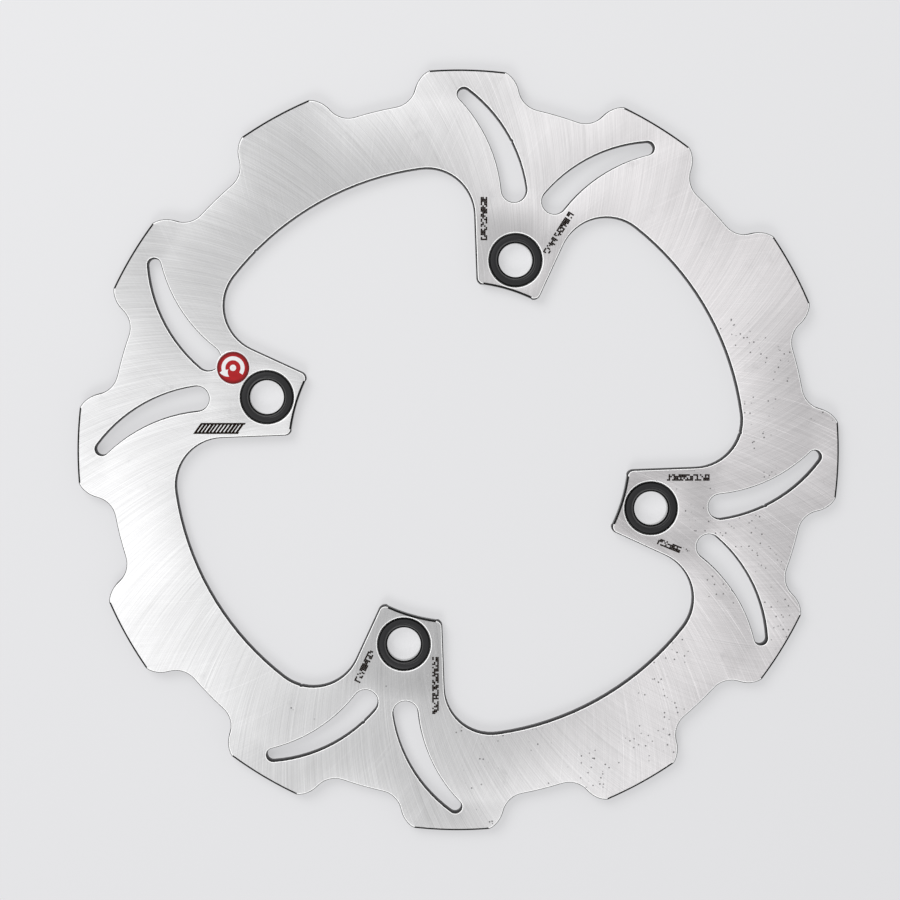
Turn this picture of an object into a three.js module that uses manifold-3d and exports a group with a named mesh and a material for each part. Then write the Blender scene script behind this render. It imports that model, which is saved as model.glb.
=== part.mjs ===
// A fixed rear brake disc for a light motorcycle: a wavy stainless blade with four bolt
// lugs pointing inwards, a black bush in each lug and a small round badge beside one lug.
// Millimetres. The disc's axis is Z, its inner face lies on z = 0, and +X runs through the
// middle of a bolt hole.

import * as THREE from 'three';
import { mergeVertices } from 'three/addons/utils/BufferGeometryUtils.js';
import Module from 'manifold-3d';

const DEGREE = Math.PI / 180;

// The blade as a plate
const discRadius = 120; // turned outside edge, at the lobes
const discThickness = 4;
const turnedChamfer = 0.35; // on every edge that the lathe turned

// Waves round the outside: a valley between each two lobes
const lobeCount = 12;
const lobeBlankAllowance = 0.8; // what turning takes off each lobe
const valleyDepth = 10; // from the turned edge to the valley floor
const valleyFloorHalfAngle = 3.4 * DEGREE;
const valleyFilletRadius = 7.6;
const lobeRoundRadius = 8.9;

// The four lugs and the bays between them
const lugCount = 4;
const boltCircleRadius = 63;
const ringWidth = 30; // from the turned edge to the bays
const bayFilletRadius = 15;
const lugCornerRadius = 2.1;
const lugEndWall = 1.1; // from the bush's seat to the turned bore
// Each lug leans: its two sides have their own wall beside the bush and their own slope
const lugSteepSide = { wall: 3.35, slope: 8.5 * DEGREE };
const lugLeaningSide = { wall: 4.45, slope: 18.3 * DEGREE };

// A pair of tapered, curved slots outside each lug, as a V
const slotTip = { inset: 7.7, offset: 30.0, radius: 2.1 }; // near the edge
const slotRoot = { wall: 9.7, offset: 6.6, radius: 4.0 }; // near the bush
const slotConvexFlankRadius = 46.6;
const slotHollowFlankRadius = 47.8;

// Bushes: a flange sunk flush in the lug and a spigot through it
const bushBoreRadius = 5.3;
const bushWall = 1.5; // spigot's wall
const bushFlangeRadius = 8.1;
const bushFlangeThickness = 1.6;
const bushBoreChamfer = 0.3;
const bushRimChamfer = 0.15;
const bushFitGap = 0.3; // round the flange and the spigot

// Badge: a thin domed disc stuck to the outer face beside one lug
const badgeRadius = 5.05;
const badgeRimHeight = 0.25;
const badgeCrownHeight = 0.4;
const badgeBushGap = 0.55; // from the bush's seat to the badge
const badgeBearing = -25 * DEGREE; // from the bush, off the lug's middle line
const badgeLug = 2; // counted from the +X lug

// How finely round shapes are cut into flats
const chordError = 0.025;
const turnedSegments = 180;
const bushSegments = 48;
const badgeCrownSteps = 4;
const cutOverrun = 1; // how far a cutting body runs past the plate

// What the bushes need of the lugs
const seatRadius = bushFlangeRadius + bushFitGap;
const seatFloor = discThickness - bushFlangeThickness;
const lugBoreRadius = boltCircleRadius - seatRadius - lugEndWall;

const wasm = await Module();
wasm.setup();

// ---------- plane geometry ----------

function polar(radius, angle) {
  return new THREE.Vector2(radius * Math.cos(angle), radius * Math.sin(angle));
}

// Where two circles cross. side +1 takes the crossing left of the way from a to b.
function circlesCross(a, radiusA, b, radiusB, side) {
  const way = b.clone().sub(a);
  const span = way.length();
  const along = (span * span + radiusA * radiusA - radiusB * radiusB) / (2 * span);
  const across = Math.sqrt(radiusA * radiusA - along * along);
  way.divideScalar(span);
  const left = new THREE.Vector2(-way.y, way.x);
  return a.clone().addScaledVector(way, along).addScaledVector(left, side * across);
}

// Where a line (a point and a unit direction) crosses a circle about the origin, far end.
function lineMeetsCircle(point, direction, radius) {
  const foot = point.clone().addScaledVector(direction, -point.dot(direction));
  const reach = Math.sqrt(radius * radius - foot.lengthSq());
  return foot.addScaledVector(direction, reach);
}

// Points of an arc from one angle to another, fine enough for the chord error.
function arc(centre, radius, from, to) {
  const step = 2 * Math.acos(1 - chordError / radius);
  const count = Math.max(2, Math.ceil(Math.abs(to - from) / step));
  const points = [];
  for (let i = 0; i <= count; i += 1) {
    points.push(polar(radius, from + ((to - from) * i) / count).add(centre));
  }
  return points;
}

// The arc about centre from one point to another, turning the given way (+1 is left).
function arcBetween(centre, radius, start, end, turn) {
  const from = start.clone().sub(centre).angle();
  let to = end.clone().sub(centre).angle();
  while (turn > 0 && to < from) to += 2 * Math.PI;
  while (turn < 0 && to > from) to -= 2 * Math.PI;
  return arc(centre, radius, from, to);
}

// The point of a circle that is nearest to the target.
function touchTowards(centre, radius, target) {
  return centre.clone().add(target.clone().sub(centre).setLength(radius));
}

// The point of a circle on the far side from the target.
function touchAwayFrom(centre, radius, target) {
  return centre.clone().sub(target.clone().sub(centre).setLength(radius));
}

function turned(points, angle) {
  return points.map((point) => point.clone().rotateAround(new THREE.Vector2(), angle));
}

function mirrored(points) {
  return points.map((point) => new THREE.Vector2(point.x, -point.y)).reverse();
}

// Joins runs of points into one closed outline without doubled points.
function closedOutline(runs) {
  const points = [];
  for (const point of runs.flat()) {
    const last = points[points.length - 1];
    if (!last || last.distanceTo(point) > 1e-4) points.push(point);
  }
  if (points[0].distanceTo(points[points.length - 1]) <= 1e-4) points.pop();
  return points;
}

// ---------- solids ----------

// A closed solid from a geometry: shared vertices merged, triangles without area left out.
function solidOf(geometry) {
  const bare = geometry.clone();
  bare.deleteAttribute('normal');
  bare.deleteAttribute('uv');
  const merged = mergeVertices(bare, 1e-5);
  const corners = merged.index.array;
  const triangles = [];
  for (let i = 0; i < corners.length; i += 3) {
    const [a, b, c] = corners.slice(i, i + 3);
    if (a !== b && b !== c && c !== a) triangles.push(a, b, c);
  }
  return new wasm.Manifold(new wasm.Mesh({
    numProp: 3,
    vertProperties: new Float32Array(merged.attributes.position.array),
    triVerts: new Uint32Array(triangles),
  }));
}

function geometryOf(solid) {
  const mesh = solid.getMesh();
  const geometry = new THREE.BufferGeometry();
  geometry.setAttribute('position', new THREE.BufferAttribute(mesh.vertProperties, 3));
  geometry.setIndex(new THREE.BufferAttribute(mesh.triVerts, 1));
  geometry.computeVertexNormals();
  return geometry;
}

function extruded(outline, from, to) {
  const shape = new THREE.Shape(outline);
  const geometry = new THREE.ExtrudeGeometry(shape, { depth: to - from, bevelEnabled: false });
  return geometry.translate(0, 0, from);
}

// A turned solid about Z from a closed profile of [radius, height] points.
function lathed(profile, segments) {
  const points = profile.map(([radius, height]) => new THREE.Vector2(radius, height));
  points.push(points[0].clone());
  return new THREE.LatheGeometry(points, segments).rotateX(Math.PI / 2);
}

// ---------- the blade's outlines ----------

// One wave: valley floor, fillet, lobe round and the blank's lobe tip, from the middle
// of a valley to the middle of the next lobe. The other half is its mirror image.
function halfWave() {
  const origin = new THREE.Vector2();
  const floorRadius = discRadius - valleyDepth;
  const blankRadius = discRadius + lobeBlankAllowance;
  const filletCentre = polar(floorRadius + valleyFilletRadius, valleyFloorHalfAngle);
  const roundCentre = circlesCross(
    origin, blankRadius - lobeRoundRadius,
    filletCentre, valleyFilletRadius + lobeRoundRadius, 1,
  );
  const floorEnd = touchTowards(filletCentre, valleyFilletRadius, origin);
  const inflection = touchTowards(filletCentre, valleyFilletRadius, roundCentre);
  const tipStart = roundCentre.clone().setLength(blankRadius);
  return [
    ...arc(origin, floorRadius, 0, valleyFloorHalfAngle),
    ...arcBetween(filletCentre, valleyFilletRadius, floorEnd, inflection, -1),
    ...arcBetween(roundCentre, lobeRoundRadius, inflection, tipStart, 1),
    ...arc(origin, blankRadius, tipStart.angle(), Math.PI / lobeCount),
  ];
}

function outerOutline() {
  const half = halfWave();
  const runs = [];
  for (let i = 0; i < lobeCount; i += 1) {
    const angle = (i * 2 * Math.PI) / lobeCount;
    runs.push(turned(mirrored(half), angle), turned(half, angle));
  }
  return closedOutline(runs);
}

// One side of the lug on +X, from the lug's middle to the middle of the bay beside it,
// drawn as if the side lay at positive Y.
function lugSide(side) {
  const origin = new THREE.Vector2();
  const bayRadius = discRadius - ringWidth;
  const bayMiddle = Math.PI / lugCount;
  const start = new THREE.Vector2(boltCircleRadius, seatRadius + side.wall);
  const direction = polar(1, side.slope);
  const away = new THREE.Vector2(-direction.y, direction.x);
  const cornerCentre = lineMeetsCircle(
    start.clone().addScaledVector(away, -lugCornerRadius),
    direction,
    lugBoreRadius + lugCornerRadius,
  );
  const filletCentre = lineMeetsCircle(
    start.clone().addScaledVector(away, bayFilletRadius),
    direction,
    bayRadius - bayFilletRadius,
  );
  const cornerStart = touchTowards(cornerCentre, lugCornerRadius, origin);
  const cornerEnd = cornerCentre.clone().addScaledVector(away, lugCornerRadius);
  const filletStart = filletCentre.clone().addScaledVector(away, -bayFilletRadius);
  const filletEnd = filletCentre.clone().setLength(bayRadius);
  return [
    ...arc(origin, lugBoreRadius, 0, cornerStart.angle()),
    ...arcBetween(cornerCentre, lugCornerRadius, cornerStart, cornerEnd, -1),
    ...arcBetween(filletCentre, bayFilletRadius, filletStart, filletEnd, 1),
    ...arc(origin, bayRadius, filletEnd.angle(), bayMiddle),
  ];
}

function innerOutline() {
  const lug = [mirrored(lugSide(lugSteepSide)), lugSide(lugLeaningSide)];
  const runs = [];
  for (let i = 0; i < lugCount; i += 1) {
    const angle = (i * 2 * Math.PI) / lugCount;
    runs.push(...lug.map((run) => turned(run, angle)));
  }
  return closedOutline(runs);
}

// The slot outside the +X lug, on its positive Y side: a small round near the disc's
// edge, a larger one near the bush, and two flanks that touch both.
function slotOutline() {
  const tipReach = discRadius - slotTip.inset;
  const tip = new THREE.Vector2(Math.sqrt(tipReach ** 2 - slotTip.offset ** 2), slotTip.offset);
  const rootReach = seatRadius + slotRoot.wall + slotRoot.radius;
  const rootAhead = Math.sqrt(rootReach ** 2 - slotRoot.offset ** 2);
  const root = new THREE.Vector2(boltCircleRadius + rootAhead, slotRoot.offset);
  const convexCentre = circlesCross(
    tip, slotConvexFlankRadius - slotTip.radius,
    root, slotConvexFlankRadius - slotRoot.radius, -1,
  );
  const hollowCentre = circlesCross(
    tip, slotHollowFlankRadius + slotTip.radius,
    root, slotHollowFlankRadius + slotRoot.radius, -1,
  );
  const tipConvex = touchAwayFrom(tip, slotTip.radius, convexCentre);
  const rootConvex = touchAwayFrom(root, slotRoot.radius, convexCentre);
  const rootHollow = touchTowards(root, slotRoot.radius, hollowCentre);
  const tipHollow = touchTowards(tip, slotTip.radius, hollowCentre);
  return closedOutline([
    arcBetween(convexCentre, slotConvexFlankRadius, tipConvex, rootConvex, -1),
    arcBetween(root, slotRoot.radius, rootConvex, rootHollow, -1),
    arcBetween(hollowCentre, slotHollowFlankRadius, rootHollow, tipHollow, 1),
    arcBetween(tip, slotTip.radius, tipHollow, tipConvex, -1),
  ]);
}

// ---------- cutting bodies ----------

// A turned body whose edge at the given radius carries both chamfers, run on past the
// plate's faces. side is -1 for a body that narrows there and +1 for one that widens.
function turnedBody(radius, side) {
  const runOut = radius + side * (turnedChamfer + cutOverrun);
  return solidOf(lathed([
    [0, -cutOverrun],
    [runOut, -cutOverrun],
    [radius, turnedChamfer],
    [radius, discThickness - turnedChamfer],
    [runOut, discThickness + cutOverrun],
    [0, discThickness + cutOverrun],
  ], turnedSegments));
}

// The stepped hole that a bush sits in, about the origin.
function bushSeat() {
  const spigotHole = bushBoreRadius + bushWall + bushFitGap;
  return solidOf(lathed([
    [0, -cutOverrun],
    [spigotHole, -cutOverrun],
    [spigotHole, seatFloor],
    [seatRadius, seatFloor],
    [seatRadius, discThickness + cutOverrun],
    [0, discThickness + cutOverrun],
  ], bushSegments));
}

// ---------- the pieces ----------

function brakeDisc() {
  let blade = solidOf(extruded(outerOutline(), 0, discThickness));
  blade = blade.intersect(turnedBody(discRadius, -1));
  blade = blade.subtract(solidOf(extruded(innerOutline(), -cutOverrun, discThickness + cutOverrun)));
  blade = blade.subtract(turnedBody(lugBoreRadius, 1));
  const slot = slotOutline();
  const seat = bushSeat();
  for (let lug = 0; lug < lugCount; lug += 1) {
    const angle = (lug * 2 * Math.PI) / lugCount;
    for (const outline of [slot, mirrored(slot)]) {
      const cut = extruded(turned(outline, angle), -cutOverrun, discThickness + cutOverrun);
      blade = blade.subtract(solidOf(cut));
    }
    const hole = boltHole(lug);
    blade = blade.subtract(seat.translate([hole.x, hole.y, 0]));
  }
  return geometryOf(blade);
}

function lugBush() {
  const spigotRadius = bushBoreRadius + bushWall;
  return lathed([
    [bushBoreRadius + bushBoreChamfer, 0],
    [spigotRadius - bushRimChamfer, 0],
    [spigotRadius, bushRimChamfer],
    [spigotRadius, seatFloor],
    [bushFlangeRadius, seatFloor],
    [bushFlangeRadius, discThickness - bushRimChamfer],
    [bushFlangeRadius - bushRimChamfer, discThickness],
    [bushBoreRadius + bushBoreChamfer, discThickness],
    [bushBoreRadius, discThickness - bushBoreChamfer],
    [bushBoreRadius, bushBoreChamfer],
  ], bushSegments);
}

// A flat underside, an upright rim and a shallow crown that meets the axis level.
function badge() {
  const rise = badgeCrownHeight - badgeRimHeight;
  const profile = [[0, 0], [badgeRadius, 0]];
  for (let i = 0; i < badgeCrownSteps; i += 1) {
    const share = i / badgeCrownSteps;
    const height = badgeRimHeight + rise * Math.sin((share * Math.PI) / 2);
    profile.push([badgeRadius * Math.cos((share * Math.PI) / 2), height]);
  }
  profile.push([0, badgeCrownHeight]);
  return geometryOf(solidOf(lathed(profile, bushSegments)));
}

function piece(name, geometry, colour, roughness, metalness) {
  const material = new THREE.MeshStandardMaterial({ color: colour, roughness, metalness });
  const mesh = new THREE.Mesh(geometry, material);
  mesh.name = name;
  return mesh;
}

function boltHole(lug) {
  return polar(boltCircleRadius, (lug * 2 * Math.PI) / lugCount);
}

function badgePlace() {
  const fromBush = polar(seatRadius + badgeBushGap + badgeRadius, badgeBearing);
  fromBush.rotateAround(new THREE.Vector2(), (badgeLug * 2 * Math.PI) / lugCount);
  return boltHole(badgeLug).add(fromBush);
}

const assembly = new THREE.Group();
assembly.add(piece('brake_disc', brakeDisc(), 0xc9c9c7, 0.35, 1));
for (let lug = 0; lug < lugCount; lug += 1) {
  const bush = piece(`lug_bush_${lug + 1}`, lugBush(), 0x303132, 0.55, 0.6);
  const hole = boltHole(lug);
  bush.position.set(hole.x, hole.y, 0);
  assembly.add(bush);
}
const roundBadge = piece('round_badge', badge(), 0xb5252b, 0.3, 0);
roundBadge.position.set(badgePlace().x, badgePlace().y, discThickness);
assembly.add(roundBadge);

export default assembly;
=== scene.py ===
"""Looks of a wavy motorcycle brake disc with four black lug bushes and a small red badge."""

import math
import random

import bmesh
import bpy
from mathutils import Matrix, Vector


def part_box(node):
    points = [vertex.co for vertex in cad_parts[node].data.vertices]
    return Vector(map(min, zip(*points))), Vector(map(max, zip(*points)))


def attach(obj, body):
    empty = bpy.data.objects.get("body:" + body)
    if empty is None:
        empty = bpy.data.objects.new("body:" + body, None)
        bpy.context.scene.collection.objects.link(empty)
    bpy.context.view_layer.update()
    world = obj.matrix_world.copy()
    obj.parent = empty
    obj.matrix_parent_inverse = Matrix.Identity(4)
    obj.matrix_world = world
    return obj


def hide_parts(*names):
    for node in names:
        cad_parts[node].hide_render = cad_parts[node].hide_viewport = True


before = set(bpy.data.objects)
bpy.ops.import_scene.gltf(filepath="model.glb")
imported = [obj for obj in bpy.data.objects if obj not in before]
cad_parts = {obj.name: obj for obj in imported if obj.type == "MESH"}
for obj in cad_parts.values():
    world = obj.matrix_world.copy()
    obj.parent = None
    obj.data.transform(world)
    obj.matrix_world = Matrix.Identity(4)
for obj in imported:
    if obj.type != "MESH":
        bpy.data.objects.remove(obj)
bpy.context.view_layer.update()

MM = 0.001


def polar(radius, degrees):
    """A point at this radius and bearing, in the radius's own unit."""
    turn = math.radians(degrees)
    return radius * math.cos(turn), radius * math.sin(turn)


# ---------------------------------------------------------------- camera

CAMERA_PLACE = (-0.02502, 0.02524, 0.6827)
CAMERA_TURN = (-0.0446, -0.0206, 0.2824)
CAMERA_LENS = 86.36


def make_camera():
    """The camera looks almost straight down on the flat disc."""
    lens = bpy.data.cameras.new("camera")
    lens.lens = CAMERA_LENS
    lens.sensor_width = 36
    lens.clip_start = 0.01
    lens.clip_end = 20
    camera = bpy.data.objects.new("camera", lens)
    camera.location = CAMERA_PLACE
    camera.rotation_euler = CAMERA_TURN
    bpy.context.scene.collection.objects.link(camera)
    bpy.context.scene.camera = camera


make_camera()


# ---------------------------------------------------------------- finishes


class Wire:
    """One socket of a finish, used in sums and products as if it were a number."""

    def __init__(self, finish, socket):
        self.finish = finish
        self.socket = socket

    def __add__(self, other):
        return self.finish.maths("ADD", self, other)

    def __radd__(self, other):
        return self.finish.maths("ADD", other, self)

    def __sub__(self, other):
        return self.finish.maths("SUBTRACT", self, other)

    def __rsub__(self, other):
        return self.finish.maths("SUBTRACT", other, self)

    def __mul__(self, other):
        return self.finish.maths("MULTIPLY", self, other)

    def __rmul__(self, other):
        return self.finish.maths("MULTIPLY", other, self)

    def __truediv__(self, other):
        return self.finish.maths("DIVIDE", self, other)

    def __rtruediv__(self, other):
        return self.finish.maths("DIVIDE", other, self)

    def __pow__(self, other):
        return self.finish.maths("POWER", self, other)


class Finish:
    """A named material, or the air round the disc, built up node by node."""

    def __init__(self, name, kept_in=bpy.data.materials):
        self.owner = kept_in.new(name)
        self.owner.use_nodes = True
        self.tree = self.owner.node_tree
        self.tree.nodes.clear()

    def node(self, kind, settings=None, sockets=None, out=0):
        """Adds one node: what it does is set first, then its sockets. Hands back one output."""
        made = self.tree.nodes.new(kind)
        for name, value in (settings or {}).items():
            setattr(made, name, value)
        for place, value in (sockets or {}).items():
            if isinstance(value, Wire):
                self.tree.links.new(value.socket, made.inputs[place])
            else:
                made.inputs[place].default_value = value
        return Wire(self, made.outputs[out]) if made.outputs else None

    def maths(self, operation, *values, clamped=False):
        settings = {"operation": operation, "use_clamp": clamped}
        return self.node("ShaderNodeMath", settings, dict(enumerate(values)))

    def clamp(self, value):
        return self.maths("ADD", value, 0.0, clamped=True)

    def place(self):
        """The three coordinates of the point that is shaded, in metres."""
        spot = self.node("ShaderNodeTexCoord", out=3)
        return [self.node("ShaderNodeSeparateXYZ", None, {0: spot}, out=axis) for axis in range(3)]

    def vector(self, x, y, z):
        return self.node("ShaderNodeCombineXYZ", None, {0: x, 1: y, 2: z})

    def noise(self, vector, scale=1.0, detail=2.0, roughness=0.5):
        sockets = {"Vector": vector, "Scale": scale, "Detail": detail, "Roughness": roughness}
        return self.node("ShaderNodeTexNoise", None, sockets)

    def step(self, value, low, high):
        """0 below low, 1 above high, and a smooth rise between them."""
        settings = {"interpolation_type": "SMOOTHSTEP"}
        return self.node("ShaderNodeMapRange", settings, {0: value, 1: low, 2: high})

    def blend(self, factor, first, second):
        """A colour that goes from the first to the second with the factor."""
        sockets = {0: factor, 6: first, 7: second}
        return self.node("ShaderNodeMix", {"data_type": "RGBA"}, sockets, out=2)

    def bump(self, height, distance, strength=1.0):
        sockets = {"Height": height, "Distance": distance, "Strength": strength}
        return self.node("ShaderNodeBump", None, sockets)

    def skin(self, sockets):
        return self.node("ShaderNodeBsdfPrincipled", None, sockets)

    def seen_directly(self):
        """1 for what the lens sees, straight on or in metal or glass, and 0 for what lights things."""
        camera_ray = self.node("ShaderNodeLightPath", None, None, out=0)
        glossy_ray = self.node("ShaderNodeLightPath", None, None, out=3)
        through_ray = self.node("ShaderNodeLightPath", None, None, out=6)
        return self.clamp(camera_ray + glossy_ray + through_ray)

    def close(self, surface):
        self.node("ShaderNodeOutputMaterial", None, {"Surface": surface})
        return self.owner


def grey(level):
    return (level, level, level, 1)


GRINDING_WHEEL_RADIUS = 0.123
WHEEL_LEAN = 0.0477


def ground_steel():
    """Rotary ground stainless: long arcs swept by the wheel, a weaker crossing set, pits, stains and
    painted shade round three lugs.
    """
    steel = Finish("ground_stainless")
    x, y, _ = steel.place()
    radius = (x * x + y * y) ** 0.5
    bearing = steel.maths("ARCTAN2", y, x)
    lean = steel.maths("ARCSINE", radius / (2 * GRINDING_WHEEL_RADIUS))
    sweep_a = bearing - lean
    sweep_b = bearing + lean

    def streaks(sweep, fineness, length, detail=2.0):
        """Noise drawn out along the arcs of one sweep."""
        across = steel.maths("COSINE", sweep) * fineness
        beside = steel.maths("SINE", sweep) * fineness
        return steel.noise(steel.vector(across, beside, radius / length), 1.0, detail, 0.6)

    broad_a = streaks(sweep_a, 70.0, 0.06)
    lines_a = streaks(sweep_a, 900.0, 0.03, 3.0)
    fine_a = streaks(sweep_a, 2400.0, 0.014)
    lines_b = streaks(sweep_b, 850.0, 0.026, 3.0)
    fine_b = streaks(sweep_b, 2200.0, 0.014)
    long_a = streaks(sweep_a, 640.0, 0.05)
    long_b = streaks(sweep_b, 620.0, 0.04)

    patchy = steel.noise(steel.vector(x * 30.0, y * 30.0, 0.3))
    east = x / radius
    north = y / radius
    crossing = steel.clamp(0.44 - east * 0.3 + north * 0.12 + (patchy - 0.5) * 0.2)
    crosshatch = steel.step(east - north * 0.15, 0.6, 0.95) * 0.5
    crossed = steel.clamp(0.2 + crosshatch + (patchy - 0.5) * 0.5)

    grain = (lines_a - 0.5) * (1 - crossed * 0.6) + (lines_b - 0.5) * crossed
    hair = (fine_a - 0.5) * (1 - crossed * 0.6) + (fine_b - 0.5) * crossed
    bright_scratch = steel.step(long_a, 0.64, 0.72) * (1 - crossed * 0.5)
    cross_scratch = steel.step(long_b, 0.63, 0.71) * crossed
    scratches = bright_scratch * 0.2 + cross_scratch * 0.6
    tone = 1 + grain * 1.0 + hair * 0.75 + (broad_a - 0.5) * 0.08 + (patchy - 0.5) * 0.05
    # Painted shade: the ground face inside the lug radius is darkened by about a fifth, on every lug
    # but the left one.
    shade_outside_left_lug = steel.step(east, -0.98, -0.93)
    lug_painted_shade = (1 - steel.step(radius, 0.071, 0.086)) * shade_outside_left_lug * 0.21

    pits = steel.node(
        "ShaderNodeTexVoronoi",
        {"feature": "F1"},
        {"Vector": steel.vector(x * 620.0, y * 620.0, 0.0), "Scale": 1.0},
    )
    where = steel.noise(steel.vector(x * 60.0 + 3.1, y * 60.0, 1.7), 1.0, 3.0, 0.6)
    worn_side = steel.step(east - north * 0.35, 0.1, 1.0) * 0.16
    pitted = (1 - steel.step(pits, 0.1, 0.2)) * steel.step(where + worn_side, 0.66, 0.71)
    stain = steel.noise(steel.vector(x * 90.0, y * 90.0 + 5.0, 0.0), 1.0, 4.0, 0.7)
    stained = steel.step(stain, 0.6, 0.75)

    level = (tone + scratches) * (1 - stained * 0.06) * (1 - pitted * 0.7) * (1 - lug_painted_shade)
    warmth = steel.step(east + north * 0.4, -0.4, 0.9)
    full = steel.blend(warmth, (1.196, 1.195, 1.204, 1), (1.212, 1.182, 1.196, 1))
    colour = steel.blend(steel.clamp(level * 0.5), grey(0.0), full)
    rough = steel.clamp(0.55 + grain * 0.2 + stained * 0.06 + pitted * 0.2)
    surface = grain * 0.5 + hair * 0.5 + scratches * 2.0 - pitted * 2.0
    shared = {
        "Base Color": colour,
        "Metallic": 1.0,
        "Roughness": rough,
        "Anisotropic": 0.81,
        "Normal": steel.bump(surface, 0.00002, 0.4),
    }
    main = steel.skin({**shared, "Anisotropic Rotation": WHEEL_LEAN})
    other = steel.skin({**shared, "Anisotropic Rotation": 1 - WHEEL_LEAN})
    both = steel.node("ShaderNodeMixShader", None, {0: crossing, 1: main, 2: other})
    return steel.close(both)


def edge_break():
    """The brushed-over corner along every laser cut. Its colour is a little brighter than the ground
    face, a painted highlight line.
    """
    edge = Finish("edge_break_painted_highlight")
    x, y, z = edge.place()
    wear = edge.noise(edge.vector(x * 700.0, y * 700.0, z * 700.0), 1.0, 3.0, 0.6)
    # Pale base colour: a painted highlight along the rounded edge, varied by noise.
    colour = edge.blend(wear, grey(0.78), grey(0.92))
    rough = 0.6 + wear * 0.3
    sockets = {"Base Color": colour, "Metallic": 1.0, "Roughness": rough}
    return edge.close(edge.skin(sockets))


def laser_wall():
    """Dark laser-cut wall: burnt at the top, painted contact shade at the foot, greyer between, with
    upright striations.
    """
    wall = Finish("laser_cut_wall")
    x, y, z = wall.place()
    upright = wall.noise(wall.vector(x * 2600.0, y * 2600.0, z * 120.0), 1.0, 2.0, 0.6)
    patch = wall.noise(wall.vector(x * 300.0, y * 300.0, z * 300.0), 1.0, 2.0, 0.5)
    ragged = z + (upright - 0.5) * 0.0006
    # The near-black band at the foot of the wall is painted contact shade; the dark top is the burnt
    # cut.
    middle = wall.step(ragged, 0.0002, 0.0006) * (1 - wall.step(ragged, 0.0012, 0.002))
    level = wall.clamp(middle * 0.55 + (upright - 0.5) * 0.2 + (patch - 0.5) * 0.1)
    colour = wall.blend(level, (0.008, 0.007, 0.008, 1), (0.32, 0.31, 0.32, 1))
    sockets = {
        "Base Color": colour,
        "Metallic": 0.85,
        "Roughness": 0.45 + patch * 0.2,
        "Specular IOR Level": 0.2,
        "Normal": wall.bump(upright, 0.00006, 0.6),
    }
    return wall.close(wall.skin(sockets))


def turned_steel():
    """Turned rim, lug ends and bush seats, with fine lines round the axis."""
    rim = Finish("turned_rim")
    x, y, z = rim.place()
    rings = rim.noise(rim.vector(0.0, 0.0, z * 9000.0), 1.0, 2.0, 0.6)
    patch = rim.noise(rim.vector(x * 200.0, y * 200.0, z * 200.0), 1.0, 2.0, 0.5)
    level = rim.clamp(rings * 0.7 + patch * 0.3)
    colour = rim.blend(level, grey(0.04), grey(0.14))
    sockets = {
        "Base Color": colour,
        "Metallic": 1.0,
        "Roughness": 0.3 + patch * 0.15,
        "Normal": rim.bump(rings, 0.00002, 0.4),
    }
    return rim.close(rim.skin(sockets))


def chamfer_painted_dark():
    """Chamfer along the turned rim and the lug ends, painted near black: painted shade for the dark it
    reflects. The same finish darkens the cut burrs and the bush seat walls.
    """
    chamfer = Finish("chamfer_painted_dark")
    x, y, z = chamfer.place()
    unevenness = chamfer.noise(chamfer.vector(x * 900.0, y * 900.0, z * 900.0), 1.0, 3.0, 0.6)
    # Near-black base colour: painted shade standing in for a dark reflection.
    colour = chamfer.blend(unevenness, grey(0.003), grey(0.02))
    sockets = {"Base Color": colour, "Roughness": 0.6 + unevenness * 0.2, "Specular IOR Level": 0.1}
    return chamfer.close(chamfer.skin(sockets))


def black_bush_coat(name, centre):
    """Satin black coating on a turned bush, with faint rings round its bore."""
    coat = Finish(name)
    x, y, z = coat.place()
    east = x - centre[0]
    north = y - centre[1]
    radius = (east * east + north * north) ** 0.5
    rings = coat.noise(coat.vector(radius * 9000.0, 0.0, 0.0), 1.0, 2.0, 0.6)
    speckle = coat.noise(coat.vector(x * 2500.0, y * 2500.0, z * 2500.0), 1.0, 2.0, 0.5)
    worn = coat.step(speckle + rings * 0.3, 0.78, 0.92)
    lighter = coat.clamp(rings * 0.6 + worn * 0.5)
    colour = coat.blend(lighter, (0.005, 0.005, 0.006, 1), (0.014, 0.014, 0.016, 1))
    sockets = {
        "Base Color": colour,
        "Specular IOR Level": 0.3,
        "Roughness": 0.34 + speckle * 0.14,
        "Normal": coat.bump(rings * 0.6 + speckle * 0.4, 0.00002, 0.5),
    }
    return coat.close(coat.skin(sockets))


def bush_bevel_painted_shade():
    """Deep black on the bevels, the top of the bore and the outer wall of a bush: painted shade."""
    bevel = Finish("bush_bevel_painted_shade")
    x, y, z = bevel.place()
    dust = bevel.noise(bevel.vector(x * 1800.0, y * 1800.0, z * 1800.0), 1.0, 2.0, 0.6)
    # Near-black base colour: painted shade on the bush bevels.
    colour = bevel.blend(dust, grey(0.001), grey(0.004))
    sockets = {"Base Color": colour, "Roughness": 0.7 + dust * 0.2, "Specular IOR Level": 0.05}
    return bevel.close(bevel.skin(sockets))


def bush_lip_highlight_finish():
    """The lip round a bush's bore, lighter than the coat: a painted highlight."""
    lip_highlight = Finish("bush_lip_painted_highlight")
    x, y, z = lip_highlight.place()
    unevenness = lip_highlight.noise(lip_highlight.vector(x * 1300.0, y * 1300.0, z * 1300.0), 1.0, 3.0, 0.6)
    # Grey base colour: a painted highlight on the lip, lighter than the black coat.
    colour = lip_highlight.blend(unevenness, grey(0.03), grey(0.09))
    sockets = {"Base Color": colour, "Roughness": 0.4 + unevenness * 0.2}
    return lip_highlight.close(lip_highlight.skin(sockets))


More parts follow.
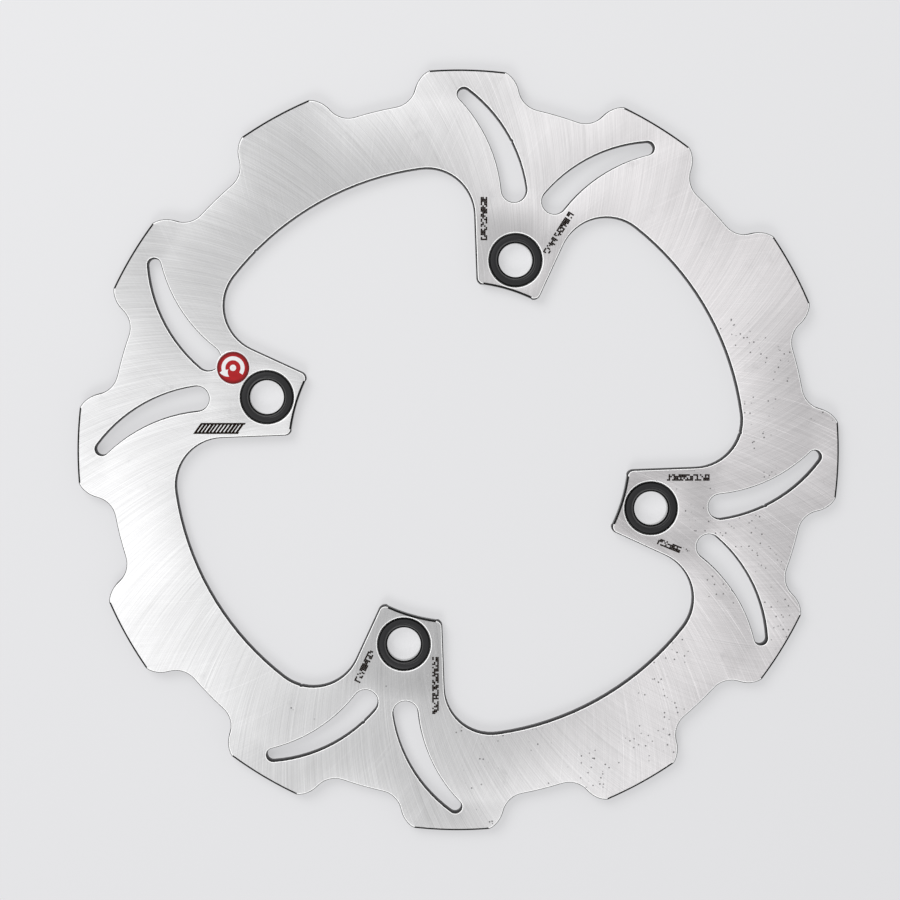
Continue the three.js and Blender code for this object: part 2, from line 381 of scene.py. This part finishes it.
def bore_steel():
    """Bare turned bore of a bush."""
    bore = Finish("bare_bush_bore")
    z = bore.place()[2]
    rings = bore.noise(bore.vector(0.0, 0.0, z * 7000.0), 1.0, 2.0, 0.6)
    colour = bore.blend(rings, grey(0.5), grey(0.66))
    sockets = {
        "Base Color": colour,
        "Metallic": 1.0,
        "Roughness": 0.5 + rings * 0.15,
        "Normal": bore.bump(rings, 0.00002, 0.5),
    }
    return bore.close(bore.skin(sockets))


def badge_red(centre, size):
    """Red enamel under a clear domed coat, deeper towards the rim."""
    enamel = Finish("badge_red_enamel")
    x, y, z = enamel.place()
    east = x - centre[0]
    north = y - centre[1]
    out = (east * east + north * north) ** 0.5 / (size * MM)
    deep = enamel.step(out, 0.72, 0.97)
    mottle = enamel.noise(enamel.vector(x * 900.0, y * 900.0, z * 900.0), 1.0, 3.0, 0.6)
    fresh = enamel.blend(mottle, (0.34, 0.004, 0.008, 1), (0.48, 0.01, 0.014, 1))
    colour = enamel.blend(deep, fresh, (0.15, 0.001, 0.002, 1))
    sockets = {
        "Base Color": colour,
        "Roughness": 0.3 + mottle * 0.1,
        "Specular IOR Level": 0.1,
        "Coat Weight": 0.35,
        "Coat Roughness": 0.08,
        "Normal": enamel.bump(mottle, 0.00001, 0.4),
    }
    return enamel.close(enamel.skin(sockets))


def badge_white():
    """White print on the badge."""
    print_ink = Finish("badge_white_print")
    x, y, z = print_ink.place()
    mottle = print_ink.noise(print_ink.vector(x * 1500.0, y * 1500.0, z * 1500.0), 1.0, 3.0)
    colour = print_ink.blend(mottle, (0.74, 0.76, 0.78, 1), (0.9, 0.9, 0.9, 1))
    sockets = {"Base Color": colour, "Roughness": 0.3 + mottle * 0.15, "Coat Weight": 1.0}
    return print_ink.close(print_ink.skin(sockets))


def etched_black():
    """Burnt black of the etched tally marks."""
    burn = Finish("etched_black")
    x, y, z = burn.place()
    soot = burn.noise(burn.vector(x * 4000.0, y * 4000.0, z * 4000.0), 1.0, 2.0, 0.6)
    colour = burn.blend(soot, (0.002, 0.0015, 0.0015, 1), (0.02, 0.012, 0.008, 1))
    sockets = {"Base Color": colour, "Roughness": 0.8 + soot * 0.2, "Specular IOR Level": 0.05}
    sockets["Normal"] = burn.bump(soot, 0.00002, 0.5)
    return burn.close(burn.skin(sockets))


FLOOR_GLOW = 0.6


def pale_floor():
    """Plain pale paper, paler towards one side: a painted light falloff. What the lens and the polished
    metal see of it is lifted a little.
    """
    paper = Finish("pale_floor")
    x, y, _ = paper.place()
    cloud = paper.noise(paper.vector(x * 3.0, y * 3.0, 0.0))
    # Painted light: the paper colour rises across the floor like a lamp's falloff, with a little cloud
    # noise.
    painted_light_falloff = paper.clamp(0.5 + (y - x * 0.29) * 2.6 + (cloud - 0.5) * 0.4)
    colour = paper.blend(painted_light_falloff, (0.78, 0.78, 0.796, 1), (0.824, 0.824, 0.838, 1))
    sockets = {"Base Color": colour, "Roughness": 0.9, "Specular IOR Level": 0.1}
    sheet = paper.skin(sockets)
    glow = paper.node("ShaderNodeEmission", None, {"Color": colour, "Strength": 1.0})
    seen = paper.seen_directly()
    lifted = paper.node("ShaderNodeMixShader", None, {0: seen * FLOOR_GLOW, 1: sheet, 2: glow})
    return paper.close(lifted)


# ---------------------------------------------------------------- shapes


def piece_from(name, shape, finishes, smooth_angle=32.0):
    """Closes a bmesh into a named piece with its finishes."""
    bmesh.ops.recalc_face_normals(shape, faces=shape.faces[:])
    mesh = bpy.data.meshes.new(name)
    shape.to_mesh(mesh)
    shape.free()
    for finish in finishes:
        mesh.materials.append(finish)
    mesh.set_sharp_from_angle(angle=math.radians(smooth_angle))
    piece = bpy.data.objects.new(name, mesh)
    bpy.context.scene.collection.objects.link(piece)
    return piece


def closed_loops(piece, height):
    """Each closed loop of corners where a level cut at this height meets the piece's skin."""
    cut = bmesh.new()
    cut.from_mesh(piece.data)
    bmesh.ops.remove_doubles(cut, verts=cut.verts[:], dist=1e-7)
    whole = cut.verts[:] + cut.edges[:] + cut.faces[:]
    bmesh.ops.bisect_plane(
        cut,
        geom=whole,
        plane_co=(0, 0, height),
        plane_no=(0, 0, 1),
        clear_inner=True,
        clear_outer=True,
    )
    cut.verts.index_update()
    seen = set()
    loops = []
    for first in cut.verts:
        if first.index in seen:
            continue
        loop = []
        corner = first
        while corner is not None:
            seen.add(corner.index)
            loop.append((corner.co.x, corner.co.y))
            ends = [edge.other_vert(corner) for edge in corner.link_edges]
            ends = [end for end in ends if end.index not in seen]
            corner = ends[0] if ends else None
        loops.append(loop)
    cut.free()
    return loops


def area_of(loop):
    """Signed area of a closed loop, positive if it runs anticlockwise."""
    total = 0.0
    for (ax, ay), (bx, by) in zip(loop, loop[1:] + loop[:1]):
        total += ax * by - bx * ay
    return total / 2


def straightened(loop):
    """The loop without doubled corners and without corners that don't turn."""
    apart = []
    for point in loop:
        if not apart or math.dist(point, apart[-1]) > 0.003 * MM:
            apart.append(point)
    if math.dist(apart[0], apart[-1]) <= 0.003 * MM:
        apart.pop()
    kept = []
    count = len(apart)
    for i, point in enumerate(apart):
        before = apart[i - 1]
        after = apart[(i + 1) % count]
        arrive = math.atan2(point[1] - before[1], point[0] - before[0])
        leave = math.atan2(after[1] - point[1], after[0] - point[0])
        turn = (leave - arrive + math.pi) % (2 * math.pi) - math.pi
        if abs(turn) > 0.0006:
            kept.append(point)
    return kept


TURNED_STEP = math.radians(0.5)


def with_turned_arcs(loop, turned_radius):
    """Rounds the stretches that lie on the turned circle, and says which corners are on it."""
    made = []
    count = len(loop)
    for i, point in enumerate(loop):
        after = loop[(i + 1) % count]
        on = abs(math.hypot(*point) - turned_radius) < 0.03 * MM
        on_next = abs(math.hypot(*after) - turned_radius) < 0.03 * MM
        start = math.atan2(point[1], point[0])
        if on:
            point = (turned_radius * math.cos(start), turned_radius * math.sin(start))
        made.append((point[0], point[1], on))
        if not (on and on_next):
            continue
        span = math.atan2(after[1], after[0]) - start
        span = (span + math.pi) % (2 * math.pi) - math.pi
        steps = max(1, math.ceil(abs(span) / TURNED_STEP))
        for k in range(1, steps):
            turn = start + span * k / steps
            made.append((turned_radius * math.cos(turn), turned_radius * math.sin(turn), True))
    return made


NICK_PROFILE = ((-0.5, 0.0), (-0.28, 0.14), (0.0, 0.24), (0.28, 0.14), (0.5, 0.0))


def with_nick(corners, spot):
    """Bites a small laser pierce mark out of the loop at the place nearest to a spot."""
    best = None
    count = len(corners)
    for i in range(count):
        ax, ay = corners[i][:2]
        bx, by = corners[(i + 1) % count][:2]
        length = math.dist((ax, ay), (bx, by))
        along = ((spot[0] - ax) * (bx - ax) + (spot[1] - ay) * (by - ay)) / length**2
        along = min(1.0, max(0.0, along))
        foot = (ax + (bx - ax) * along, ay + (by - ay) * along)
        gap = math.dist(foot, spot)
        if best is None or gap < best[0]:
            best = (gap, i, foot, ((bx - ax) / length, (by - ay) / length))
    _, index, foot, ahead = best
    rolled = corners[index + 1 :] + corners[: index + 1]
    keep = []
    for corner in rolled:
        along = (corner[0] - foot[0]) * ahead[0] + (corner[1] - foot[1]) * ahead[1]
        near = math.dist(corner[:2], foot) < 2.0 * MM
        if not (near and abs(along) < 0.6 * MM):
            keep.append(corner)
    bite = []
    for along, depth in NICK_PROFILE:
        bite.append(
            (
                foot[0] + (ahead[0] * along - ahead[1] * depth) * MM,
                foot[1] + (ahead[1] * along + ahead[0] * depth) * MM,
                False,
            )
        )
    return keep + bite


def mitres(corners):
    """For each corner, the step towards the metal that moves both its sides by one unit."""
    steps = []
    count = len(corners)
    for i in range(count):
        ax, ay = corners[i - 1][:2]
        px, py = corners[i][:2]
        bx, by = corners[(i + 1) % count][:2]
        first = Vector((ay - py, px - ax)).normalized()
        second = Vector((py - by, bx - px)).normalized()
        middle = (first + second).normalized()
        steps.append(middle / max(0.6, middle.dot(first)))
    return steps


GROUND = 0
PAINTED_HIGHLIGHT_EDGE = 1
LASER_WALL = 2
TURNED = 3
PAINTED_DARK = 4
LASER_EDGE_BREAK = 0.2 * MM
LASER_BURR = 0.2 * MM
LASER_TAPER = 0.2 * MM
LOWER_EDGE_BREAK = 0.12 * MM
TURNED_CHAMFER = 0.6 * MM


def edge_rows(turned, thickness):
    """(step into the metal, height) of each row of corners, from the lower face to the upper one."""
    if turned:
        wide = TURNED_CHAMFER
        rows = [(wide, 0.0), (0.0, wide)]
        for share in (0, 1 / 3, 2 / 3, 1):
            rows.append((wide * share, thickness - wide * (1 - share)))
        return rows
    dark = LASER_BURR
    wide = LASER_EDGE_BREAK
    rows = [(LOWER_EDGE_BREAK - LASER_TAPER, 0.0), (-LASER_TAPER, LOWER_EDGE_BREAK)]
    rows.append((0.0, thickness - 0.24 * MM))
    rows.append((dark, thickness - 0.06 * MM))
    rows.append((dark + wide * 0.4, thickness - 0.02 * MM))
    rows.append((dark + wide, thickness))
    return rows


def quad_strip(shape, low, high, finishes):
    """Joins two closed rows of corners. finishes gives each face's finish number."""
    count = len(low)
    for i in range(count):
        j = (i + 1) % count
        face = shape.faces.new((low[i], low[j], high[j], high[i]))
        face.smooth = True
        face.material_index = finishes[i]


def add_cut_wall(shape, corners, thickness):
    """Adds one loop's wall with its edge breaks. Hands back its lower and upper rows of corners."""
    steps = mitres(corners)
    rows = [[] for _ in range(6)]
    for (x, y, turned), step in zip(corners, steps):
        for row, (inset, height) in zip(rows, edge_rows(turned, thickness)):
            row.append(shape.verts.new((x + step.x * inset, y + step.y * inset, height)))
    count = len(corners)
    both_turned = [corners[i][2] and corners[(i + 1) % count][2] for i in range(count)]
    wall = [TURNED if turned else LASER_WALL for turned in both_turned]
    edge = [PAINTED_DARK if turned else PAINTED_HIGHLIGHT_EDGE for turned in both_turned]
    # The burr row at the top of every cut wall takes the painted-dark finish, a painted shade line
    # along the top edge.
    painted_dark_burr = [PAINTED_DARK] * count
    for low, high, finishes in zip(rows, rows[1:], (edge, wall, painted_dark_burr, edge, edge)):
        quad_strip(shape, low, high, finishes)
    return rows[0], rows[-1]


SEAT_STEPS = 128


def add_bush_seat(shape, centre, seat_radius, hole_radius, seat_floor, thickness):
    """Adds a stepped seat. Hands back its lower and upper rows of corners."""
    wide = 0.34 * MM
    bevel = 0.1 * MM
    profile = [
        (hole_radius + LOWER_EDGE_BREAK, 0.0, TURNED),
        (hole_radius, LOWER_EDGE_BREAK, TURNED),
        (hole_radius, seat_floor, TURNED),
        # The seat wall takes the painted-dark finish, painted shade in the gap round the bush.
        (seat_radius, seat_floor, PAINTED_DARK),
        (seat_radius, thickness - wide - bevel, PAINTED_DARK),
    ]
    for degrees in (0, 30, 60, 90):
        turn = math.radians(degrees)
        out = seat_radius + bevel + wide * (1 - math.cos(turn))
        profile.append((out, thickness - wide * (1 - math.sin(turn)), PAINTED_HIGHLIGHT_EDGE))
    rows = []
    for radius, height, _ in profile:
        row = []
        for k in range(SEAT_STEPS):
            turn = -2 * math.pi * k / SEAT_STEPS
            x = centre[0] + radius * math.cos(turn)
            y = centre[1] + radius * math.sin(turn)
            row.append(shape.verts.new((x, y, height)))
        rows.append(row)
    for low, high, (_, _, finish) in zip(rows, rows[1:], profile):
        quad_strip(shape, low, high, [finish] * SEAT_STEPS)
    return rows[0], rows[-1]


def fill_level(shape, rows):
    """Fills the level face between the closed rows of corners."""
    edges = []
    for row in rows:
        for first, second in zip(row, row[1:] + row[:1]):
            edges.append(shape.edges.get((first, second)))
    made = bmesh.ops.triangle_fill(shape, use_beauty=True, use_dissolve=False, edges=edges)
    for part in made["geom"]:
        if isinstance(part, bmesh.types.BMFace):
            part.material_index = GROUND
            part.smooth = False


PIERCE_MARKS = (
    (89.8, 151.4),
    (89.0, 20.2),
    (88.8, 251.9),
    (99.0, 96.8),
    (98.0, 6.5),
    (96.6, 349.2),
    (90.5, 266.5),
)


def nearest_loop(loops, spot):
    """Index of the loop that passes closest to a spot."""
    gaps = [min(math.dist(corner[:2], spot) for corner in loop) for loop in loops]
    return gaps.index(min(gaps))


def make_disc():
    """Rebuilds the disc with broken edges, cut walls, turned rims and stepped bush seats."""
    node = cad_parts["brake_disc"]
    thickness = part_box("brake_disc")[1].z
    bushes = [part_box(f"lug_bush_{i}") for i in (1, 2, 3, 4)]
    bush_centres = [((a.x + b.x) / 2, (a.y + b.y) / 2) for a, b in bushes]

    upper = [straightened(loop) for loop in closed_loops(node, 0.8 * thickness)]
    lower = [straightened(loop) for loop in closed_loops(node, 0.2 * thickness)]

    def hole_size(loops, centre):
        """Radius of the loop that goes round a bush's centre."""
        sizes = [max(math.dist(point, centre) for point in loop) for loop in loops]
        return min(sizes)

    seat_radius = hole_size(upper, bush_centres[0])
    hole_radius = hole_size(lower, bush_centres[0])
    outlines = []
    for loop in upper:
        distances = [
            max(math.dist(point, centre) for point in loop) for centre in bush_centres
        ]
        if min(distances) > 1.2 * seat_radius:
            outlines.append(loop)

    outlines.sort(key=lambda loop: -abs(area_of(loop)))
    outer_radius = max(math.hypot(*point) for point in outlines[0]) - RIM_CLEARANCE
    bore_radius = min(math.hypot(*point) for point in outlines[1])
    cut_loops = []
    for i, loop in enumerate(outlines):
        anticlockwise = area_of(loop) > 0
        if anticlockwise != (i == 0):
            loop = loop[::-1]
        turned_radius = outer_radius if i == 0 else bore_radius
        cut_loops.append(with_turned_arcs(loop, turned_radius))
    for radius, degrees in PIERCE_MARKS:
        spot = polar(radius * MM, degrees)
        i = nearest_loop(cut_loops, spot)
        cut_loops[i] = with_nick(cut_loops[i], spot)

    shape = bmesh.new()
    lower_rows = []
    upper_rows = []
    for corners in cut_loops:
        below, above = add_cut_wall(shape, corners, thickness)
        lower_rows.append(below)
        upper_rows.append(above)
    for centre in bush_centres:
        below, above = add_bush_seat(
            shape, centre, seat_radius, hole_radius, SEAT_FLOOR, thickness
        )
        lower_rows.append(below)
        upper_rows.append(above)
    fill_level(shape, lower_rows)
    fill_level(shape, upper_rows)
    finishes = [ground_steel(), edge_highlight_finish, laser_wall(), turned_steel(), chamfer_painted_dark()]
    disc = piece_from("ground_disc", shape, finishes)
    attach(disc, "root")
    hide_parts("brake_disc")
    return thickness


SEAT_FLOOR = 2.4 * MM
RIM_CLEARANCE = 0.018 * MM
edge_highlight_finish = edge_break()
disc_thickness = make_disc()


# ---------------------------------------------------------------- bushes

COAT = 0
BARE = 1
PAINTED_SHADE = 2
LIP_HIGHLIGHT = 3
BUSH_STEPS = 160
BUSH_PROFILE = (
    (6.8, 0.15, COAT),
    (6.65, 0.0, COAT),
    (5.5, 0.0, COAT),
    (5.3, 0.2, BARE),
    # The bevel at the top of the bore takes painted shade, and the lip just outside it a painted
    # highlight.
    (5.3, 3.5, PAINTED_SHADE),
    (5.36, 3.72, PAINTED_SHADE),
    (5.5, 3.88, PAINTED_SHADE),
    (5.72, 3.95, COAT),
    (5.92, 3.97, LIP_HIGHLIGHT),
    (6.06, 3.99, COAT),
    (6.18, 3.93, COAT),
    (6.36, 3.91, COAT),
    (6.52, 3.93, COAT),
    (6.64, 4.0, COAT),
    # Painted shade on the outer top bevel and the flange wall.
    (7.86, 4.0, PAINTED_SHADE),
    (8.02, 3.94, PAINTED_SHADE),
    (8.1, 3.78, PAINTED_SHADE),
    (8.1, 2.5, COAT),
    (8.0, 2.4, COAT),
    (6.8, 2.4, COAT),
)


def spun_ring(name, centre, profile, steps, finishes, smooth_angle):
    """Spins a closed profile of (radius, height, finish) in millimetres round an upright axis."""
    shape = bmesh.new()
    rows = []
    for radius, height, _ in profile:
        row = []
        for k in range(steps):
            x, y = polar(radius * MM, 360 * k / steps)
            row.append(shape.verts.new((centre[0] + x, centre[1] + y, height * MM)))
        rows.append(row)
    for i, (_, _, finish) in enumerate(profile):
        quad_strip(shape, rows[i], rows[(i + 1) % len(rows)], [finish] * steps)
    return piece_from(name, shape, finishes, smooth_angle)


def make_bushes():
    """Four black flanged bushes with a bare bore."""
    bare = bore_steel()
    # Painted shade for the bush bevels and a painted highlight for the lip.
    deep = bush_bevel_painted_shade()
    lip_highlight = bush_lip_highlight_finish()
    for i in (1, 2, 3, 4):
        node = f"lug_bush_{i}"
        low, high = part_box(node)
        centre = ((low.x + high.x) / 2, (low.y + high.y) / 2)
        coat = black_bush_coat(f"black_bush_coat_{i}", centre)
        finishes = [coat, bare, deep, lip_highlight]
        bush = spun_ring(f"black_bush_{i}", centre, BUSH_PROFILE, BUSH_STEPS, finishes, 25.0)
        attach(bush, "root")
        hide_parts(node)


make_bushes()


# ---------------------------------------------------------------- badge

BADGE_STEPS = 96
BADGE_RIM = 0.24
BADGE_CROWN = 0.385


def make_badge():
    """A small domed red badge with a plain white turn arrow."""
    low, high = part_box("round_badge")
    centre = ((low.x + high.x) / 2, (low.y + high.y) / 2)
    size = (high.x - low.x) / 2 / MM
    base = low.z / MM

    def dome(radius):
        """Height of the dome's skin above the disc."""
        share = radius / size
        return BADGE_CROWN - (BADGE_CROWN - BADGE_RIM) * share**2

    white = badge_white()
    shape = bmesh.new()
    ring_radii = [size + 0.42, size + 0.36, size, size, size - 0.03, size - 0.1, size - 0.22]
    ring_heights = [0.0, 0.04, 0.05, BADGE_RIM - 0.12, BADGE_RIM - 0.04, BADGE_RIM, dome(size - 0.22)]
    for share in (0.85, 0.7, 0.55, 0.4, 0.25, 0.1):
        ring_radii.append(size * share)
        ring_heights.append(dome(size * share))
    rows = []
    for radius, height in zip(ring_radii, ring_heights):
        row = []
        for k in range(BADGE_STEPS):
            x, y = polar(radius * MM, 360 * k / BADGE_STEPS)
            spot = (centre[0] + x, centre[1] + y, (base + height) * MM)
            row.append(shape.verts.new(spot))
        rows.append(row)
    for i, (first, second) in enumerate(zip(rows, rows[1:])):
        quad_strip(shape, first, second, [1 if i < 2 else 0] * BADGE_STEPS)
    top = shape.verts.new((centre[0], centre[1], (base + BADGE_CROWN) * MM))
    bottom = shape.verts.new((centre[0], centre[1], base * MM))
    for i in range(BADGE_STEPS):
        j = (i + 1) % BADGE_STEPS
        cap = shape.faces.new((rows[-1][i], rows[-1][j], top))
        cap.smooth = True
        shape.faces.new((rows[0][i], rows[0][j], bottom))
    badge = piece_from("red_badge", shape, [badge_red(centre, size), white], 50.0)
    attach(badge, "root")
    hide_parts("round_badge")

    def band(shape, middle, outline):
        """Adds a curved band on the dome. outline gives (bearing, half width) along it."""
        above = []
        under = []
        for degrees, half in outline:
            for side in (-1, -0.33, 0.33, 1):
                radius = middle + side * half
                x, y = polar(radius * MM, degrees)
                height = base + dome(radius)
                spot = (centre[0] + x, centre[1] + y)
                above.append(shape.verts.new((*spot, (height + 0.012) * MM)))
                under.append(shape.verts.new((*spot, (height - 0.02) * MM)))
        rows_made = len(outline)
        for i in range(rows_made - 1):
            for k in range(3):
                a = i * 4 + k
                b = a + 4
                face = shape.faces.new((above[a], above[a + 1], above[b + 1], above[b]))
                face.smooth = True
                shape.faces.new((under[a], under[b], under[b + 1], under[a + 1]))
            for k in (0, 3):
                a = i * 4 + k
                b = a + 4
                shape.faces.new((above[a], above[b], under[b], under[a]))
        for i in (0, rows_made - 1):
            for k in range(3):
                a = i * 4 + k
                shape.faces.new((above[a], above[a + 1], under[a + 1], under[a]))

    print_shape = bmesh.new()
    tail = [(degrees, 0.62) for degrees in range(-20, 216, 8)]
    head = [(216 + 9 * k, 1.45 - 0.28 * k) for k in range(6)]
    band(print_shape, 3.0, tail + head)
    dot = [(degrees, 0.45) for degrees in range(0, 361, 20)]
    band(print_shape, 0.55, dot)
    arrow = piece_from("badge_turn_arrow", print_shape, [white], 40.0)
    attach(arrow, "root")


make_badge()


# ---------------------------------------------------------------- etched marks

MARK_HEIGHT = 0.02
CODE_STRIPS = (
    ((-15.03, 79.19), (-11.28, 66.3)),
    ((12.72, 82.08), (8.54, 67.84)),
    ((65.06, 10.74), (77.83, 14.43)),
    ((68.01, -9.32), (75.52, -10.13)),
    ((-9.11, -67.82), (-10.94, -78.58)),
    ((10.69, -64.11), (15.74, -81.53)),
)
CODE_TALL = 2.1
CODE_ROWS = 4
CODE_PITCH = 0.52
CODE_DOT = 0.5
BAR_CORNERS = ((-82.06, -17.53), (-80.60, -13.51), (-67.06, -9.59), (-68.52, -13.61))


def add_slab(shape, corners, base, height):
    """Adds a thin closed slab over these corners, all in millimetres."""
    below = [shape.verts.new((x * MM, y * MM, base * MM)) for x, y in corners]
    above = [shape.verts.new((x * MM, y * MM, (base + height) * MM)) for x, y in corners]
    shape.faces.new(above)
    shape.faces.new(below[::-1])
    for i in range(len(corners)):
        j = (i + 1) % len(corners)
        shape.faces.new((below[i], below[j], above[j], above[i]))


def make_marks():
    """Dot-code strips and a slanted bar in place of lettering."""
    face = disc_thickness / MM
    rng = random.Random(7)
    dots = bmesh.new()
    for start, end in CODE_STRIPS:
        run = Vector(end) - Vector(start)
        along = run.normalized()
        beside = Vector((-along.y, along.x))

        def patch(s0, s1, t0, t1):
            """Corners of a patch from s0 to s1 along the strip and t0 to t1 across it."""
            spots = []
            for s, t in ((s0, t0), (s1, t0), (s1, t1), (s0, t1)):
                spots.append(tuple(Vector(start) + along * s + beside * t))
            return spots

        half = CODE_TALL / 2
        columns = round(run.length / CODE_PITCH)
        for column in range(columns):
            for row in range(CODE_ROWS):
                if rng.random() > 0.64:
                    continue
                s0 = column * CODE_PITCH
                t0 = -half + row * CODE_TALL / CODE_ROWS
                dot = patch(s0, s0 + CODE_DOT, t0, t0 + CODE_DOT)
                add_slab(dots, dot, face, MARK_HEIGHT)
    a, b, c, d = (Vector(corner) for corner in BAR_CORNERS)

    def in_bar(s, t):
        """A point of the slanted bar, s along it and t up it, each from 0 to 1."""
        low = a.lerp(d, s)
        high = b.lerp(c, s)
        return tuple(low.lerp(high, t))

    add_slab(dots, [in_bar(0, 0), in_bar(1, 0), in_bar(1, 0.16), in_bar(0, 0.16)], face, MARK_HEIGHT)
    add_slab(dots, [in_bar(0, 0.84), in_bar(1, 0.84), in_bar(1, 1), in_bar(0, 1)], face, MARK_HEIGHT)
    for k in range(12):
        s0 = k / 12
        wide = rng.choice((0.054, 0.06, 0.066))
        add_slab(
            dots,
            [in_bar(s0, 0.16), in_bar(s0 + wide, 0.16), in_bar(s0 + wide, 0.84), in_bar(s0, 0.84)],
            face,
            MARK_HEIGHT,
        )
    for name, shape, finish in (
        ("etched_code_marks", dots, etched_black()),
    ):
        piece = piece_from(name, shape, [finish])
        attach(piece, "root")


make_marks()


# ---------------------------------------------------------------- floor and light


def make_floor():
    """A wide pale floor just under the disc."""
    shape = bmesh.new()
    half = 6.0
    just_under = -0.00005
    outline = ((-half, -half), (half, -half), (half, half), (-half, half))
    shape.faces.new([shape.verts.new((x, y, just_under)) for x, y in outline])
    mesh = bpy.data.meshes.new("floor")
    shape.to_mesh(mesh)
    shape.free()
    mesh.materials.append(pale_floor())
    floor = bpy.data.objects.new("floor", mesh)
    bpy.context.scene.collection.objects.link(floor)


def soft_lamp(name, bearing, height_angle, distance, size, level):
    """A square soft box that faces the disc and adds this share of plain light to the floor."""
    lamp = bpy.data.lights.new(name, "AREA")
    lamp.shape = "SQUARE"
    lamp.size = size
    rise = math.sin(math.radians(height_angle))
    lamp.energy = level * math.pi**2 * distance**2 / rise
    out = math.cos(math.radians(height_angle)) * distance
    x, y = polar(out, bearing)
    box = bpy.data.objects.new(name, lamp)
    box.location = (x, y, rise * distance)
    towards = -box.location
    box.rotation_euler = towards.to_track_quat("-Z", "Y").to_euler()
    bpy.context.scene.collection.objects.link(box)


def studio_air(lighting, seen):
    """Even light from all round. What the lens and the metal see of it is paler than what it gives."""
    air = Finish("studio_air", bpy.data.worlds)
    tone = air.blend(air.seen_directly(), grey(lighting), grey(seen))
    light = air.node("ShaderNodeBackground", None, {"Color": tone})
    air.node("ShaderNodeOutputWorld", None, {"Surface": light})
    bpy.context.scene.world = air.owner


make_floor()
studio_air(0.394, 0.894)
soft_lamp("key_soft_box", 148, 49, 1.3, 0.78, 0.386)
soft_lamp("fill_soft_box", 270, 49, 1.3, 0.56, 0.22)

bpy.context.scene.view_settings.view_transform = "Standard"
